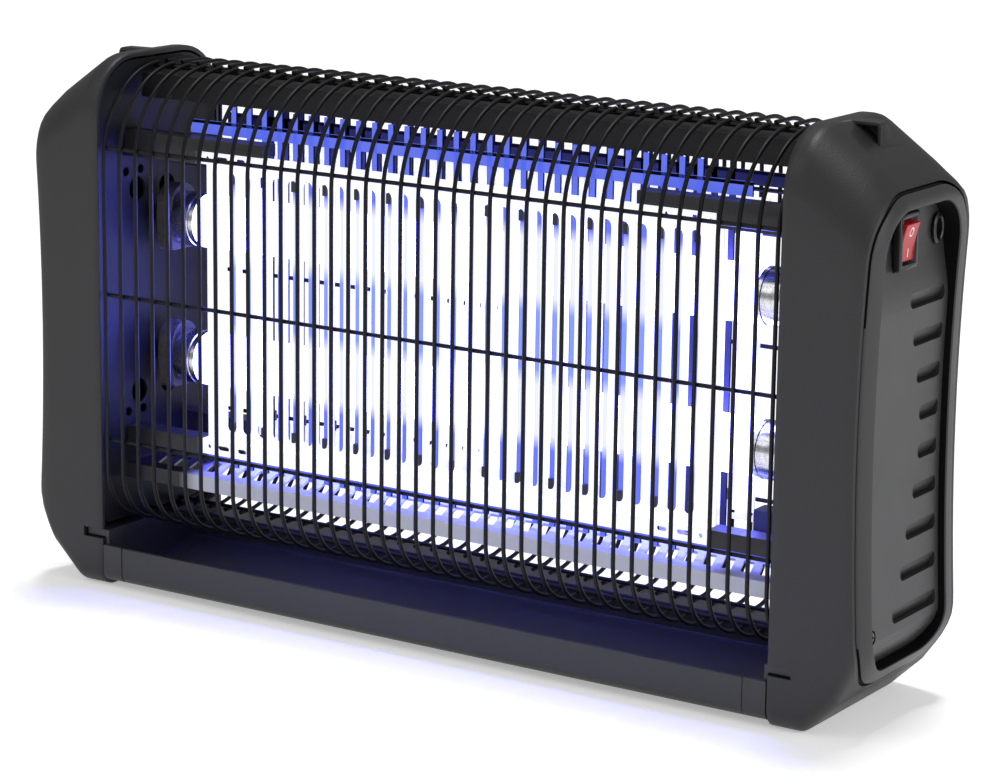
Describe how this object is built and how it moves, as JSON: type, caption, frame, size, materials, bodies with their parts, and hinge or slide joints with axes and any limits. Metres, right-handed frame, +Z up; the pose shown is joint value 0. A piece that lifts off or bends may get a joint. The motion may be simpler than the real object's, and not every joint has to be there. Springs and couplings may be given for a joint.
{
  "type": "electric bug zapper",
  "caption": "Electric insect killer with dark grey moulded ends, wire guards, glowing ultraviolet tubes behind slotted electrode grids, a slide-out tray and a red rocker switch.",
  "frame": {"origin": "on the floor under the middle of the object", "axes": "+X along the length towards the end with the switch, -Y towards the front, where the tray is drawn out, +Z up"},
  "size_m": [0.4488, 0.0924, 0.255],
  "materials": {
    "shell": "fine moulded texture, dark grey ABS",
    "cover": "fine moulded texture, dark grey ABS",
    "wire": "black powder coat on steel wire",
    "steel_dark": "dark painted steel",
    "zinc": "zinc-plated sheet",
    "live": "zinc-plated sheet",
    "insulator": "black moulded insulator",
    "holder": "moulded grey plastic",
    "rotor": "white plastic",
    "glass": "frosted glass with phosphor, lit",
    "aluminium": "bright",
    "tray": "fine moulded texture",
    "black": "satin black",
    "red": "gloss red",
    "board": "green laminate",
    "screw": "dark plated"
  },
  "bodies": {
    "housing": {"base_plate": "zinc", "cord_inlet": "black", "front_electrode_plate": "zinc", "front_guard": "wire", "front_left_lower_insulator": "insulator", "front_left_upper_insulator": "insulator", "front_live_comb": "live", "front_right_lower_insulator": "insulator", "front_right_upper_insulator": "insulator", "high_voltage_board": "board", "high_voltage_transformer": "black", "left_cover_screw": "screw", "left_end_shell": "shell", "left_inner_panel": "steel_dark", "left_side_cover": "cover", "left_tray_rail": "steel_dark", "lower_left_tube_holder": "holder", "lower_right_tube_holder": "holder", "rear_electrode_plate": "zinc", "rear_guard": "wire", "rear_left_lower_insulator": "insulator", "rear_left_upper_insulator": "insulator", "rear_live_comb": "live", "rear_right_lower_insulator": "insulator", "rear_right_upper_insulator": "insulator", "right_cover_screw": "screw", "right_end_shell": "shell", "right_inner_panel": "steel_dark", "right_side_cover": "cover", "right_tray_rail": "steel_dark", "storage_capacitor": "rotor", "switch_frame": "black", "top_channel": "steel_dark", "tube_ballast": "black", "upper_left_tube_holder": "holder", "upper_right_tube_holder": "holder"},
    "tray": {"tray_pan": "tray", "left_tray_runner": "tray", "right_tray_runner": "tray"},
    "rocker": {"switch_rocker": "red"},
    "upper_tube": {"upper_tube_glass": "glass", "upper_tube_left_cap": "aluminium", "upper_tube_right_cap": "aluminium", "upper_left_tube_rotor": "rotor", "upper_right_tube_rotor": "rotor"},
    "lower_tube": {"lower_tube_glass": "glass", "lower_tube_left_cap": "aluminium", "lower_tube_right_cap": "aluminium", "lower_left_tube_rotor": "rotor", "lower_right_tube_rotor": "rotor"}
  },
  "joints": [
    {"name": "tray_slide", "type": "slide", "parent": "housing", "child": "tray", "axis": [0, -1, 0], "range_m": [0, 0.09]},
    {"name": "switch_pivot", "type": "hinge", "parent": "housing", "child": "rocker", "pos_m": [0.217, -0.0065, 0.2075], "axis": [0, -1, 0], "range_deg": [0, 20]},
    {"name": "upper_tube_twist", "type": "hinge", "parent": "housing", "child": "upper_tube", "pos_m": [0, 0, 0.1755], "axis": [1, 0, 0], "range_deg": [0, 90]},
    {"name": "lower_tube_twist", "type": "hinge", "parent": "housing", "child": "lower_tube", "pos_m": [0, 0, 0.1085], "axis": [1, 0, 0], "range_deg": [0, 90]}
  ]
}
